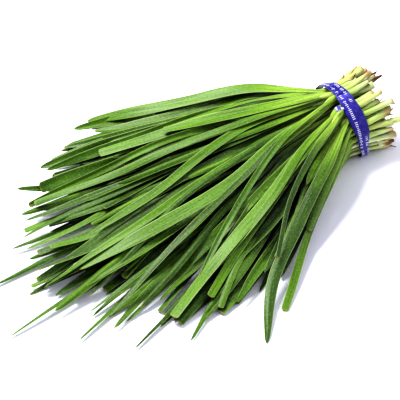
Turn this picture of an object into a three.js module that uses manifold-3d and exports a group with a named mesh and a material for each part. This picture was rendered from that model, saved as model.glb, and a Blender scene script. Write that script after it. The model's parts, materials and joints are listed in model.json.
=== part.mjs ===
// A tied bunch of flat-leaved chives (garlic chives), lying on a surface.
// Forty-four pairs of shoots are packed in rows inside one tie, which is round above and flat where it
// rests. Each shoot is a pale oval sheath with two or three flat blades. The blades fan out from the tie
// and are laid one by one on the pile below them, lowest first, so that crossing blades rest on each other
// and never run through each other.
//
// Millimetres, +Z up. The working frame has its origin on the surface under the tie; +X points from the
// blades to the cut ends, +Y across. The finished group is moved so that its box stands centred on the
// origin.
import * as THREE from "three";
import { mergeVertices } from "three/addons/utils/BufferGeometryUtils.js";
import Module from "manifold-3d";

const wasm = await Module();
wasm.setup();

// ---- driving dimensions ---------------------------------------------------------------------------
const NECK_RADIUS = 26.2; // inside the tie
const NECK_AXIS_HEIGHT = 18.6; // the neck is round above and flat where it rests
const ROW_PITCH = 4.4; // one row of shoots above the next
const PAIR_PITCH = 8.6; // one pair of shoots beside the next
const LOWEST_ROW = 3.2; // and the lowest row above the surface
const SHEATH = { width: 4.1, height: 3.8, apart: 3.95 }; // one oval sheath, and its distance from its twin
const LEVEL_PITCH = 0.81; // the blades of a pair leave it at five levels, taken in turn by its two shoots
const SHEATH_END = -9.5; // where the blades come free of the sheaths
const ROOT_DEPTH = 2.9; // how far a blade is sunk in its sheath
const CUT_END = 23.5; // mean distance of the cut ends behind the tie
const CUT_SPREAD = 7; // how much those ends vary
const CUT_SPLAY = 0.0085; // behind the tie the shoots spread by this share in every millimetre
const CUT_STRAY = 0.05; // and stray sideways by up to this slope

const BLADE_THICKNESS = 0.6;
const BLADE_WIDTH = [4.2, 7.8]; // narrowest and widest blade
const BEND_DISTANCES = [29, 62, 102, 144, 190, 236]; // from the tie, where the straight pieces of blades meet
const FAN_MIDDLE = -4.5; // heading of the middle of the fan, degrees off the bunch's axis
const FAN_ANGLE = 32; // outermost headings to each side of that
const EXIT_SHARE = { far: 1.22, near: 0.8 }; // share of its heading with which a blade leaves the tie
const STRAY_ANGLE = 9; // how far a blade strays from its place in the fan
const BOW_ANGLE = 3; // and how much further its first stretch strays
const SWAY = 11; // how far to each side its outer half swings
const LOW_SHARE = 0.5; // share of that stray, sway and roll which the lowest blades have
const LONGEST_REACH = 238; // tip of the longest blade, from the tie
const REACH_LOST_PER_DEGREE = { far: 1.8, near: 2.3 }; // blades that head sideways are shorter

const PILE_TOP = 45; // height of the fan at the tie, and at its far end
const PILE_END = 12;
const PILE_LENGTH = 255;
const FAR_SPREAD = 0.85; // how fast the pile's foot widens on its far side, and on its near side
const NEAR_SPREAD = 0.62;
const AIR = 0.15; // clear space kept between crossing blades
const EDGE_CLEARANCE = 0.35; // and beside their edges
const FLOOR_GAP = 0.2; // and under the lowest ones, so that the tie carries the bunch
const CELL = 0.6; // grid on which crossings are measured
const FIXED_STATIONS = 2; // the first stations of a blade, which hold its height in the neck
const SWEEPS = 320;

// A flat ring that leans towards the blades, in degrees.
const TIE = { width: 10.5, thickness: 0.9, gap: 0.4, sides: 48, lean: 8.5 };

// ---- small helpers ----------------------------------------------------------------------------------
const radians = (degrees) => (degrees * Math.PI) / 180;
const mix = (a, b, share) => a + (b - a) * share;
const clamp = (x, low, high) => Math.min(high, Math.max(low, x));
const ease = (x) => {
  const t = clamp(x, 0, 1);
  return t * t * (3 - 2 * t);
};

// A draw from 0 to 1 that is the same on every run: item and use are whole numbers.
function draw(item, use) {
  const x = Math.sin(item * 12.9898 + use * 78.233) * 43758.5453;
  return x - Math.floor(x);
}

// ---- blades set one by one --------------------------------------------------------------------------
// The outline of the fan and the blades on top of it. "from" is where the blade leaves the neck, across and
// above the bunch's axis; heading and reach place its tip; exit is its direction at the tie.
const CHOSEN = [
  // along the far side, from the tie
  { from: [10, 22], heading: 32, reach: 168, exit: 46, width: 6.8, roll: -10, arch: 7, curl: 0, blunt: false },
  { from: [16, 18], heading: 34, reach: 123, exit: 42, width: 6.0, roll: 10, arch: 8, curl: 0, blunt: true },
  { from: [19, 12], heading: 29, reach: 176, exit: 38, width: 6.6, roll: -8, arch: 9, curl: 4, blunt: false },
  { from: [19, 4], heading: 25, reach: 180, exit: 33, width: 7.0, roll: 12, arch: 5, curl: 4, blunt: false },
  { from: [15, 9], heading: 19, reach: 199, exit: 22, width: 7.4, roll: -10, curl: 4, blunt: false },
  { from: [11, -2], heading: 12, reach: 217, exit: 14, width: 5.6, roll: -20, curl: 15, blunt: false },
  { from: [9, 5], heading: 8, reach: 219, exit: 12, width: 6.2, roll: -12, curl: 4, blunt: false },
  { from: [6, -6], heading: 3, reach: 232, exit: 6, width: 5.0, roll: 8, curl: 0, blunt: false },
  // tips on the surface beyond the fan
  { from: [2, -11], heading: -2, reach: 253, exit: 2, width: 6.4, roll: 6, curl: 0, blunt: false },
  { from: [0, -8], heading: -6, reach: 239, exit: -4, width: 5.4, roll: -10, curl: 0, blunt: false },
  { from: [-3, -12], heading: -11, reach: 266, exit: -6, width: 4.2, roll: 10, curl: 0, blunt: false },
  { from: [-4, 6], heading: -12, reach: 237, exit: -7, width: 7.6, roll: -6, curl: 0, blunt: false },
  { from: [-8, -11], heading: -18, reach: 240, exit: -10, width: 5.6, roll: 12, curl: 0, blunt: false },
  { from: [-10, -7], heading: -20, reach: 221, exit: -15, width: 5.8, roll: -8, curl: 0, blunt: false },
  { from: [-12, -10], heading: -25, reach: 225, exit: -17, width: 4.4, roll: 14, curl: 0, blunt: false },
  { from: [-16, -6], heading: -31, reach: 190, exit: -24, width: 5.8, roll: -10, curl: 0, blunt: false },
  // hanging over the near side
  { from: [-15, 18], heading: -43, reach: 187, exit: -34, width: 7.2, roll: 8, sway: 12, curl: 0, blunt: false },
  { from: [-21, 5], heading: -44, reach: 160, exit: -37, width: 5.6, roll: -8, curl: 0, blunt: true },
  { from: [-19, 12], heading: -45, reach: 103, exit: -40, width: 6.6, roll: 6, curl: 0, blunt: true },
  // on top of the fan
  { from: [-3, 20], heading: -9, reach: 198, exit: -26, width: 8.2, roll: -8, curl: 0, blunt: false },
  { from: [-7, 22], heading: -28, reach: 150, exit: -32, width: 6.6, roll: 14, curl: 0, blunt: true },
  { from: [3, 22], heading: -4, reach: 193, exit: 14, width: 7.4, roll: -12, curl: 0, blunt: false },
  { from: [8, 21], heading: 18, reach: 161, exit: 18, width: 6.8, roll: 8, curl: 0, blunt: true },
  { from: [-9, 19], heading: -30, reach: 161, exit: -33, width: 6.4, roll: -10, curl: 0, blunt: true },
];

// ---- where the shoots stand in the neck -------------------------------------------------------------
// Rows of pairs fill the neck from its flat underside up. A row is as long as the circle allows at its
// outer corners. Heights are from the neck's axis.
function neckPairs() {
  const pairs = [];
  const highest = NECK_RADIUS - SHEATH.height / 2;
  for (let height = LOWEST_ROW - NECK_AXIS_HEIGHT; height <= highest; height += ROW_PITCH) {
    const corner = Math.abs(height) + SHEATH.height * 0.32;
    const halfRow = Math.sqrt(NECK_RADIUS ** 2 - corner ** 2);
    const count = Math.floor((2 * halfRow) / PAIR_PITCH);
    const pitch = PAIR_PITCH + (2 * halfRow - count * PAIR_PITCH) / count;
    for (let place = 0; place < count; place++)
      pairs.push({ height, across: (place - (count - 1) / 2) * pitch, halfRow });
  }
  return pairs;
}

// ---- the blades' own shapes -------------------------------------------------------------------------
// Every blade is described by its root in the sheath, the heading and reach of its tip, a sideways bow,
// its width, the roll of its flat side, the curl of its tip, and whether the tip is cut blunt. A few of the
// blades set one by one also arch above the others.
function bladeByRule(root, item) {
  const place = root.across / (root.halfRow - SHEATH.width / 2);
  const middle = FAN_MIDDLE + FAN_ANGLE * place;
  const loose = mix(LOW_SHARE, 1, root.height / PILE_TOP);
  const heading = middle + STRAY_ANGLE * loose * (2 * draw(item, 1) - 1);
  const off = heading - FAN_MIDDLE;
  const longest = LONGEST_REACH - Math.abs(off) * REACH_LOST_PER_DEGREE[off > 0 ? "far" : "near"];
  return {
    ...root,
    exit: EXIT_SHARE[off > 0 ? "far" : "near"] * middle + BOW_ANGLE * loose * (2 * draw(item, 3) - 1),
    heading,
    reach: longest * (1 - 0.4 * draw(item, 2) ** 2),
    width: mix(BLADE_WIDTH[0], BLADE_WIDTH[1], draw(item, 4) ** 1.4),
    roll: (draw(item, 8) > 0.5 ? 1 : -1) * mix(3, 38, draw(item, 5) ** 2) * loose,
    curl: 0,
    sway: SWAY * loose * (2 * draw(item, 6) - 1),
    blunt: draw(item, 7) > 0.68,
  };
}

// Width of a blade at a share of its length: narrow in the sheath, full from a sixth on, then a long
// rounded taper, or nearly full width at a blunt end.
function widthAt(blade, share) {
  const base = mix(0.4, 1, ease(share / 0.25));
  const tip = blade.blunt ? 0.82 : 0.24;
  return blade.width * base * mix(1, tip, clamp((share - 0.74) / 0.26, 0, 1) ** 1.6);
}

// The route of a blade seen from above: a quadratic curve that leaves the neck at the blade's exit angle and
// ends at its tip, with a sideways swing laid over its outer half.
function planPoint(blade, share) {
  const turn = radians(blade.heading);
  const tip = [-blade.reach * Math.cos(turn), blade.reach * Math.sin(turn)];
  const root = [SHEATH_END + ROOT_DEPTH, blade.across - (ROOT_DEPTH / 2) * Math.tan(radians(blade.exit))];
  const span = Math.hypot(tip[0] - root[0], tip[1] - root[1]);
  const exit = radians(blade.exit);
  const knee = [root[0] - 0.42 * span * Math.cos(exit), root[1] + 0.42 * span * Math.sin(exit)];
  const [a, b, c] = [(1 - share) ** 2, 2 * share * (1 - share), share ** 2];
  const sway = (blade.sway ?? 0) * share * Math.sin(2 * Math.PI * share);
  const aside = [(sway * (root[1] - tip[1])) / span, (sway * (tip[0] - root[0])) / span];
  return [0, 1].map((axis) => a * root[axis] + b * knee[axis] + c * tip[axis] + aside[axis]);
}

// The height a blade would take with nothing in its way: its own share of the fan's height, which sinks
// from the tie to the tips and falls to the surface at the two flanks.
function freeHeight(blade, [x, y], share) {
  const along = Math.max(0, -x);
  const top = mix(PILE_TOP, PILE_END, ease(Math.hypot(x, y) / PILE_LENGTH));
  const off = y - along * Math.tan(radians(FAN_MIDDLE));
  const flank = clamp(Math.abs(off) / (NECK_RADIUS + (off > 0 ? FAR_SPREAD : NEAR_SPREAD) * along), 0, 1);
  const dome = mix(1, Math.sqrt(1 - flank ** 2), ease(along / 80));
  const curl = blade.curl * clamp((share - 0.72) / 0.28, 0, 1) ** 2;
  const arch = (blade.arch ?? 0) * Math.sin(Math.PI * share);
  return (blade.height / PILE_TOP) * top * dome + curl + arch;
}

// The stations of a blade: centre, direction across in plan, half width and roll. All blades bend at the
// same distances from the tie, so that neighbouring layers lie parallel.
function stationsOf(blade) {
  const shares = [0];
  for (const distance of BEND_DISTANCES) {
    if (distance > blade.reach - 18) break;
    let [low, high] = [0, 1];
    for (let step = 0; step < 24; step++) {
      const middle = (low + high) / 2;
      if (Math.hypot(...planPoint(blade, middle)) < distance) low = middle;
      else high = middle;
    }
    shares.push(low);
  }
  shares.push(1);
  return shares.map((share, k) => {
    const [x, y] = planPoint(blade, share);
    const [x0, y0] = planPoint(blade, Math.max(0, share - 0.02));
    const [x1, y1] = planPoint(blade, Math.min(1, share + 0.02));
    const run = Math.hypot(x1 - x0, y1 - y0);
    const [sideX, sideY] = [-(y1 - y0) / run, (x1 - x0) / run];
    const beside = (side) => freeHeight(blade, [x + side * sideX, y + side * sideY], share);
    const slope = k > 1 ? (beside(1) - beside(-1)) / 2 : 0;
    const roll = Math.atan(slope) + radians(blade.roll) * ease((share - 0.2) / 0.25);
    const half = widthAt(blade, share) / 2;
    return {
      x,
      y,
      z: k > 1 ? freeHeight(blade, [x, y], share) : blade.height,
      sideX: sideX * half * Math.cos(roll),
      sideY: sideY * half * Math.cos(roll),
      sideZ: half * Math.sin(roll),
      wall: BLADE_THICKNESS / 2 / Math.cos(roll),
    };
  });
}

// ---- laying the blades on each other -----------------------------------------------------------------
// Where each blade lies over each cell of a grid. A blade is two flat triangles from station to station,
// and a covered cell keeps its share of the way between them and its height above their centre line.
function coveredCells(blades) {
  const cells = new Map();
  blades.forEach((blade, order) => {
    for (let k = 0; k + 1 < blade.stations.length; k++) {
      const [a, b] = [blade.stations[k], blade.stations[k + 1]];
      const corner = (s, side) => {
        const wider = 1 + EDGE_CLEARANCE / Math.hypot(s.sideX, s.sideY);
        return [s.x + side * wider * s.sideX, s.y + side * wider * s.sideY, side * wider * s.sideZ];
      };
      const [l0, r0, l1, r1] = [corner(a, 1), corner(a, -1), corner(b, 1), corner(b, -1)];
      for (const [triangle, shares] of [
        [[l0, r0, r1], [0, 0, 1]],
        [[l0, r1, l1], [0, 1, 1]],
      ]) {
        const [p, q, r] = triangle;
        const area = (q[0] - p[0]) * (r[1] - p[1]) - (r[0] - p[0]) * (q[1] - p[1]);
        const bound = (axis, pick) => Math.round(pick(p[axis], q[axis], r[axis]) / CELL);
        for (let i = bound(0, Math.min); i <= bound(0, Math.max); i++)
          for (let j = bound(1, Math.min); j <= bound(1, Math.max); j++) {
            const [x, y] = [i * CELL, j * CELL];
            const u = ((x - p[0]) * (r[1] - p[1]) - (r[0] - p[0]) * (y - p[1])) / area;
            const v = ((q[0] - p[0]) * (y - p[1]) - (x - p[0]) * (q[1] - p[1])) / area;
            if (u < 0 || v < 0 || u + v > 1 || x > SHEATH_END) continue;
            const w = [1 - u - v, u, v];
            const f = w[0] * shares[0] + w[1] * shares[1] + w[2] * shares[2];
            const lift = w[0] * p[2] + w[1] * q[2] + w[2] * r[2];
            const key = i * 4096 + j;
            if (!cells.has(key)) cells.set(key, []);
            const own = cells.get(key);
            if (own.length && own[own.length - 1].order === order) continue;
            own.push({ order, k, f, lift, wall: mix(a.wall, b.wall, f) });
          }
      }
    }
  });
  return cells;
}

// Moves crossing blades apart in height, both by the same amount, until each lies clear above the next
// one below it. The blades keep the order of their roots, which stay where they are in the sheaths.
function settle(blades) {
  const contacts = new Map();
  for (const cell of coveredCells(blades).values())
    for (let n = 0; n < cell.length; n++) {
      const [under, over] = [n ? cell[n - 1] : null, cell[n]];
      const key = under ? `${under.order},${under.k},${over.order},${over.k}` : `${over.order},${over.k}`;
      if (!contacts.has(key)) contacts.set(key, []);
      const need = (under ? under.lift + under.wall + AIR : FLOOR_GAP) + over.wall - over.lift;
      contacts.get(key).push([under ? under.f : 0, over.f, need]);
      contacts.get(key).under = under && [under.order, under.k];
      contacts.get(key).over = [over.order, over.k];
    }
  const groups = [...contacts.values()].sort((p, q) => p.over[0] - q.over[0] || p.over[1] - q.over[1]);
  const weight = (k, f) => [k >= FIXED_STATIONS ? 1 - f : 0, k + 1 >= FIXED_STATIONS ? f : 0];
  for (let sweep = 0; sweep < SWEEPS; sweep++) {
    for (const group of groups) {
      const [lower, k0] = group.under ?? [0, 0];
      const [upper, k1] = group.over;
      const surface = [{ z: 0 }, { z: 0 }];
      const [a, b] = group.under ? blades[lower].stations.slice(k0, k0 + 2) : surface;
      const [c, d] = blades[upper].stations.slice(k1, k1 + 2);
      let [worst, at] = [1e-4, null];
      for (const contact of group) {
        const short = contact[2] + mix(a.z, b.z, contact[0]) - mix(c.z, d.z, contact[1]);
        if (short > worst) [worst, at] = [short, contact];
      }
      if (!at) continue;
      const [wa, wb] = group.under ? weight(k0, at[0]) : [0, 0];
      const [wc, wd] = weight(k1, at[1]);
      const give = sweep < 0.8 * SWEEPS ? 1 : 0; // towards the end blades only rise
      const push = worst / Math.max(0.2, give * (wa ** 2 + wb ** 2) + wc ** 2 + wd ** 2);
      a.z -= give * push * wa;
      b.z -= give * push * wb;
      c.z += push * wc;
      d.z += push * wd;
    }
  }
}

// ---- solids -----------------------------------------------------------------------------------------
// A closed solid through rings of corners. Opposite sides are split along the same diagonal, so that the
// two faces of a thin twisted blade never cross.
function loft(rings) {
  const size = rings[0].length;
  const index = [];
  for (let k = 0; k < rings.length - 1; k++)
    for (let i = 0; i < size; i++) {
      const [a, b] = [k * size + i, k * size + ((i + 1) % size)];
      const [c, d] = [b + size, a + size];
      if (i < size / 2) index.push(a, b, c, a, c, d);
      else index.push(a, b, d, b, c, d);
    }
  const last = (rings.length - 1) * size;
  for (let i = 1; i < size - 1; i++) {
    index.push(0, i + 1, i);
    index.push(last, last + i, last + i + 1);
  }
  const geometry = new THREE.BufferGeometry();
  geometry.setAttribute("position", new THREE.Float32BufferAttribute(rings.flat(2), 3));
  geometry.setIndex(index);
  return geometry;
}

function solidOf(geometry) {
  const bare = geometry.clone();
  bare.deleteAttribute("normal");
  bare.deleteAttribute("uv");
  const merged = mergeVertices(bare, 1e-4);
  return new wasm.Manifold(
    new wasm.Mesh({
      numProp: 3,
      vertProperties: merged.attributes.position.array,
      triVerts: new Uint32Array(merged.index.array),
    }),
  );
}

function geometryOf(solid) {
  const mesh = solid.getMesh();
  const geometry = new THREE.BufferGeometry();
  geometry.setAttribute("position", new THREE.BufferAttribute(mesh.vertProperties, 3));
  geometry.setIndex(new THREE.BufferAttribute(mesh.triVerts, 1));
  geometry.computeVertexNormals();
  return geometry;
}

const joined = (solids) => solids.reduce((whole, next) => whole.add(next));

// One sheath: an oval of six corners from its cut end, through the tie, to where the blades come free.
// Behind the tie it thins a little and bears away from its neighbours.
function sheath(pair, side, item) {
  const across = pair.across + (side * SHEATH.apart) / 2;
  const cut = CUT_END + CUT_SPREAD * (2 * draw(item, 21) - 1);
  const corners = [0, 300, 240, 180, 120, 60].map((a) => [Math.cos(radians(a)), Math.sin(radians(a))]);
  const ring = (x, y, z, share) =>
    corners.map(([c, s]) => [
      x,
      y + (c * share * SHEATH.width) / 2,
      z + (s * share * SHEATH.height) / 2 / Math.sin(radians(60)),
    ]);
  const middle = NECK_AXIS_HEIGHT + pair.height;
  const run = cut - TIE.width / 2;
  const spread = 1 + CUT_SPLAY * run;
  const endHeight = mix(LOWEST_ROW, middle, spread) + CUT_STRAY * run * (draw(item, 23) - 0.5);
  const endAcross = across * spread + CUT_STRAY * run * (2 * draw(item, 24) - 1);
  return solidOf(
    loft([
      ring(cut, endAcross, endHeight, 0.8),
      ring(TIE.width / 2, across, middle, 1),
      ring(SHEATH_END, across, middle, 1),
    ]),
  );
}

function bladeSolid(stations) {
  return solidOf(
    loft(
      stations.map((s) => {
        const corner = (side, up) => [
          s.x + side * s.sideX,
          s.y + side * s.sideY,
          s.z + side * s.sideZ + up * s.wall,
        ];
        return [corner(1, 1), corner(-1, 1), corner(-1, -1), corner(1, -1)];
      }),
    ),
  );
}

// The tie: one closed ring of tape round the neck. It rests flat on the surface and leans towards the blades.
function tieGeometry() {
  const outline = (radius, lowest) => {
    const flat = Math.acos((NECK_AXIS_HEIGHT - lowest) / radius); // half the turn that the underside takes
    return Array.from({ length: TIE.sides + 1 }, (_, i) => {
      const angle = flat - Math.PI / 2 + (i / TIE.sides) * 2 * (Math.PI - flat);
      return new THREE.Vector2(radius * Math.cos(angle), NECK_AXIS_HEIGHT + radius * Math.sin(angle));
    });
  };
  const inner = NECK_RADIUS + TIE.gap;
  const shape = new THREE.Shape(outline(inner + TIE.thickness, 0));
  shape.holes.push(new THREE.Path(outline(inner, TIE.thickness)));
  const ring = new THREE.ExtrudeGeometry(shape, { depth: TIE.width, bevelEnabled: false, steps: 1 });
  // The outline is drawn in Y and Z, and the ring's width runs along X.
  ring.applyMatrix4(
    new THREE.Matrix4().makeBasis(
      new THREE.Vector3(0, 1, 0),
      new THREE.Vector3(0, 0, 1),
      new THREE.Vector3(1, 0, 0),
    ),
  );
  ring.translate(-TIE.width / 2, 0, 0);
  const lean = Math.tan(radians(TIE.lean));
  const shear = new THREE.Matrix4().makeShear(0, 0, 0, 0, -lean, 0);
  ring.applyMatrix4(shear.setPosition(lean * NECK_AXIS_HEIGHT, 0, 0));
  return geometryOf(solidOf(ring));
}

// ---- the bunch --------------------------------------------------------------------------------------
const pairs = neckPairs();
const blades = [];
pairs.forEach((pair, number) => {
  for (let level = 0; level < 5; level++) {
    const side = level % 2 ? 1 : -1;
    if (level === 2 && draw(number, 31) > 0.7) continue;
    const root = {
      pair: number,
      halfRow: pair.halfRow,
      across: pair.across + (side * SHEATH.apart) / 2,
      height: NECK_AXIS_HEIGHT + pair.height + LEVEL_PITCH * (level - 2),
    };
    blades.push(bladeByRule(root, 5 * number + level));
  }
});
for (const { from, ...shape } of CHOSEN) {
  const distance = (blade) => Math.hypot(blade.across - from[0], blade.height - NECK_AXIS_HEIGHT - from[1]);
  const free = blades.filter((blade) => !blade.chosen);
  Object.assign(free.sort((a, b) => distance(a) - distance(b))[0], shape, { chosen: true });
}
blades.sort((a, b) => a.height - b.height || a.across - b.across);
for (const blade of blades) blade.stations = stationsOf(blade);
settle(blades);

const leafGreen = new THREE.MeshStandardMaterial({ color: 0x4f8a2c, roughness: 0.5, metalness: 0 });
const tieBlue = new THREE.MeshStandardMaterial({ color: 0x3a2fa8, roughness: 0.45, metalness: 0 });

const bunch = new THREE.Group();
pairs.forEach((pair, number) => {
  const own = blades.filter((blade) => blade.pair === number).map((blade) => bladeSolid(blade.stations));
  const solid = joined([sheath(pair, -1, 2 * number), sheath(pair, 1, 2 * number + 1), ...own]);
  const mesh = new THREE.Mesh(geometryOf(solid), leafGreen);
  mesh.name = `shoot_pair_${String(number + 1).padStart(2, "0")}`;
  bunch.add(mesh);
});
const tie = new THREE.Mesh(tieGeometry(), tieBlue);
tie.name = "tie_band";
bunch.add(tie);

const box = new THREE.Box3().setFromObject(bunch);
const middle = box.getCenter(new THREE.Vector3());
bunch.position.set(-middle.x, -middle.y, -box.min.z);

export default bunch;
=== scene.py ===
"""A tied bunch of flat-leaved chives lying on a pale floor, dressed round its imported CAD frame.

Every pair of shoots is one piece that takes the place of its CAD node: two pale sheaths and the blades
that grow out of them, laid along the node's own bends. The tie is a printed film band with a free end.
Lengths inside the script are millimetres in the frame's own axes, +X towards the cut ends and +Z up.
"""

import json
import math

import bpy
import numpy as np
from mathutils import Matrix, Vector

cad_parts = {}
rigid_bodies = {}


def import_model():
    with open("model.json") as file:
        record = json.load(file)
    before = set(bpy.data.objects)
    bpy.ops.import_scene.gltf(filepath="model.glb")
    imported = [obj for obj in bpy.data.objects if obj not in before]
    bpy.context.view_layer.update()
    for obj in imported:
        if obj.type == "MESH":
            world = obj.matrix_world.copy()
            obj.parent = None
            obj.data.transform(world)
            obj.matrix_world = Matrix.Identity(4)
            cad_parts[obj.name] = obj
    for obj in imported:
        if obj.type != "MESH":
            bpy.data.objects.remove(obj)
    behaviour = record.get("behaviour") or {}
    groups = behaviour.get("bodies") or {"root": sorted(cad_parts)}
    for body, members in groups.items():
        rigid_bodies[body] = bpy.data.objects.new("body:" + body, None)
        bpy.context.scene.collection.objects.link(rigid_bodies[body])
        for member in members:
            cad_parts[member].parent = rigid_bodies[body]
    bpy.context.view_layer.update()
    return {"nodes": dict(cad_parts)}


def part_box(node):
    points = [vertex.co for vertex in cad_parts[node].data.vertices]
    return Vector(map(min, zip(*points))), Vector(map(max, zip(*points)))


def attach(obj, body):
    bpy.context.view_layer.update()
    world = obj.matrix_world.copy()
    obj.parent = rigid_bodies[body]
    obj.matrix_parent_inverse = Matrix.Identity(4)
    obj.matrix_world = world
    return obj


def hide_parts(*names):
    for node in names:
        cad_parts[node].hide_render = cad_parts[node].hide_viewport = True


bl_info = {
    "name": "Tied chive bunch",
    "version": (1, 0, 0),
    "blender": (4, 5, 0),
    "location": "View3D > Sidebar > Chives",
    "description": "Builds the leaves, sheaths, dried skins and film tie of a bunch of flat-leaved chives",
    "category": "Add Mesh",
}

for start_up_object in list(bpy.data.objects):
    bpy.data.objects.remove(start_up_object)
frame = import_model()

MM = 0.001
PAIR_NODES = sorted(name for name in frame["nodes"] if name.startswith("shoot_pair_"))
TIE_NODE = "tie_band"
TIE_LOW, TIE_HIGH = (np.array(corner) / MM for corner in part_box(TIE_NODE))
TIE_AXIS_HEIGHT = 18.6  # the neck is round above this height, and flat where it rests
TIE_LEAN = math.radians(8.5)  # towards the blades, round that axis
LEAN_SHIFT = math.tan(TIE_LEAN) * (TIE_HIGH[2] / 2 - TIE_AXIS_HEIGHT)
# The neck's foot: on the floor, under the place where the tie crosses the neck's axis.
NECK = np.array([*((TIE_LOW + TIE_HIGH) / 2)[:2], 0.0]) + [LEAN_SHIFT, 0.0, 0.0]


def linear(hex_colour):
    """Turns an sRGB hex colour into the linear red, green and blue that Blender's sockets take."""
    parts = [(hex_colour >> shift & 255) / 255 for shift in (16, 8, 0)]
    return tuple(c / 12.92 if c <= 0.04045 else ((c + 0.055) / 1.055) ** 2.4 for c in parts)


# ---- settings ----


def number(name, description, default, **more):
    """A setting that is one number."""
    return bpy.props.FloatProperty(name=name, description=description, default=default, **more)


def length(name, description, default, low=0.0, high=1000.0):
    """A setting in millimetres."""
    return number(name, description, default, min=low, max=high)


def share(name, description, default, high=1.0):
    """A setting that is a share or a strength."""
    return number(name, description, default, min=0.0, max=high)


def colour(name, description, hex_colour):
    """A colour setting, given as sRGB hex."""
    return bpy.props.FloatVectorProperty(
        name=name, description=description, default=linear(hex_colour), subtype="COLOR", min=0.0, max=1.0
    )


class ChiveLeafSettings(bpy.types.PropertyGroup):
    """Sizes and colours of the flat blades."""

    middle_thickness: length("Middle thickness", "Thickness of a blade along its middle, mm", 0.95)
    margin_thickness: length("Margin thickness", "Thickness of a blade at its margins, mm", 0.3)
    stalk_thickness: length("Stalk thickness", "Thickness of a blade where it leaves its sheath, mm", 1.5)
    fold: share("Fold", "How far the margins rise over the middle, as a share of the half width", 0.42)
    wave_height: length("Wave height", "Height of the slow waves along a blade, mm", 0.4)
    wave_length: length("Wave length", "Length of those waves, mm", 74.0, low=5.0)
    vein_spacing: length("Vein spacing", "From one lengthwise vein to the next, mm", 0.9, low=0.1)
    green: colour("Leaf green", "A full-grown blade", 0x42680F)
    deep: colour("Deep green", "The oldest blades, and the furrows between veins", 0x264009)
    fresh: colour("Fresh green", "Young blades", 0x6E9A12)
    bloom: colour("Waxy bloom", "The bluish wax on some blades", 0x5A7A38)
    # Paler margins: partly the margins' own colour, partly a painted highlight where the thin edges catch
    # the light.
    margin: colour("Margin", "The thin, clear margins", 0x9CB86C)
    pale: colour("Pale base", "A blade where it leaves its sheath", 0x9DBF48)
    dry: colour("Dry tip", "Withered tips and cut edges", 0xA1984F)
    # Painted shade: not a leaf colour; it darkens the blades and sheaths that lie deep in the bunch, where
    # little light reaches.
    painted_shade: colour("Damp green", "What lies deep in the bunch, damp and shaded", 0x0B1A06)


class ChiveSheathSettings(bpy.types.PropertyGroup):
    """Sizes and colours of the sheaths, their cut ends and their dried skins."""

    mouth_length: length("Mouth length", "Length over which a sheath narrows to its mouth, mm", 14.0)
    mouth_share: share("Mouth share", "Width of the mouth as a share of the sheath", 0.3)
    skin_length: length("Skin length", "Longest dried skin at a cut end, mm", 13.0)
    skin_thickness: length("Skin thickness", "Thickness of a dried skin, mm", 0.25)
    skin_share: share("Skin share", "Share of the sheaths that keep a dried skin", 0.9)
    green: colour("Sheath green", "A sheath where its blades come free", 0xA0BC54)
    yellow: colour("Sheath yellow", "An ageing sheath", 0xC9C874)
    pale: colour("Sheath white", "A sheath near its cut end", 0xE4ECC0)
    cut: colour("Cut face", "The freshly cut end", 0xCFC48A)
    skin: colour("Dried skin", "Papery skin at the cut end", 0xA07C46)
    skin_dark: colour("Rotted skin", "The darkest tips of the skins", 0x40220F)


class ChiveTieSettings(bpy.types.PropertyGroup):
    """Sizes and colours of the film band round the neck."""

    film_thickness: length("Film thickness", "Thickness of the doubled film, mm", 0.5)
    crease_depth: length("Crease depth", "Depth of the creases across the film, mm", 0.35)
    edge_wander: length("Edge wander", "How far the film's edges wander, mm", 0.5)
    dash_width: length("Dash width", "Width of one printed dash, mm", 0.62, low=0.1)
    dash_pitch: length("Dash pitch", "From one dash to the next, mm", 1.3, low=0.2)
    dash_length: length("Dash length", "Length of the longest dash, across the band, mm", 2.1, low=0.1)
    tail_length: length("Tail length", "Length of the film's free end, mm", 16.0)
    film: colour("Film blue", "The coloured film", 0x170A72)
    # Paler film where the band laps and along its creases: partly stress-whitened film, partly a painted
    # highlight.
    film_light: colour("Film highlight", "Stretched, paler film", 0x5C55BC)
    print_white: colour("Print", "The printed dashes", 0xDAD9EA)


class ChiveStageSettings(bpy.types.PropertyGroup):
    """Floor, lamps and camera."""

    camera_azimuth: number("Camera azimuth", "Round from the near side", math.radians(-30), subtype="ANGLE")
    camera_elevation: number("Camera elevation", "Above the floor", math.radians(42), subtype="ANGLE")
    camera_distance: length("Camera distance", "From the point it looks at, mm", 800.0, high=5000.0)
    half_view: length("Half view", "Half of what the camera sees across at that point, mm", 124.0)
    key_power: number("Key power", "The main lamp", 7.2, subtype="POWER")
    fill_power: number("Fill power", "The second lamp", 1.4, subtype="POWER")
    sky_strength: share("Sky strength", "Even light from all round", 0.62, high=5.0)
    floor: colour("Floor", "The pale floor", 0xFAFAFD)
    sky: colour("Sky", "The even light", 0xEDEDFF)


# ---- small helpers ----

PRESSED = 0.4  # what comes closer to the floor than this, in mm, is pressed up from it


def draw(item, use):
    """A draw from 0 to 1 that is the same on every run: the broken part of a large sine of both numbers."""
    x = np.sin(item * 12.9898 + use * 78.233) * 43758.5453
    return x - np.floor(x)


def ease(x):
    """Goes from 0 to 1 as x does, level at both ends: 3x squared less 2x cubed."""
    t = np.clip(x, 0.0, 1.0)
    return t * t * (3 - 2 * t)


def mix(a, b, t):
    """The value at share t of the way from a to b."""
    return a + (b - a) * t


def unit(vectors):
    """Vectors scaled to length 1."""
    return vectors / np.linalg.norm(vectors, axis=-1, keepdims=True)


def above_floor(height):
    """Heights with the lowest pressed up from the floor: under PRESSED they fall off evenly to 0."""
    return np.where(height < PRESSED, PRESSED * np.exp(np.minimum(height, PRESSED) / PRESSED - 1), height)


def distances(path):
    """How far along a path each of its points is: the sum of the straight pieces before it."""
    return np.concatenate([[0.0], np.cumsum(np.linalg.norm(np.diff(path, axis=0), axis=1))])


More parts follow.
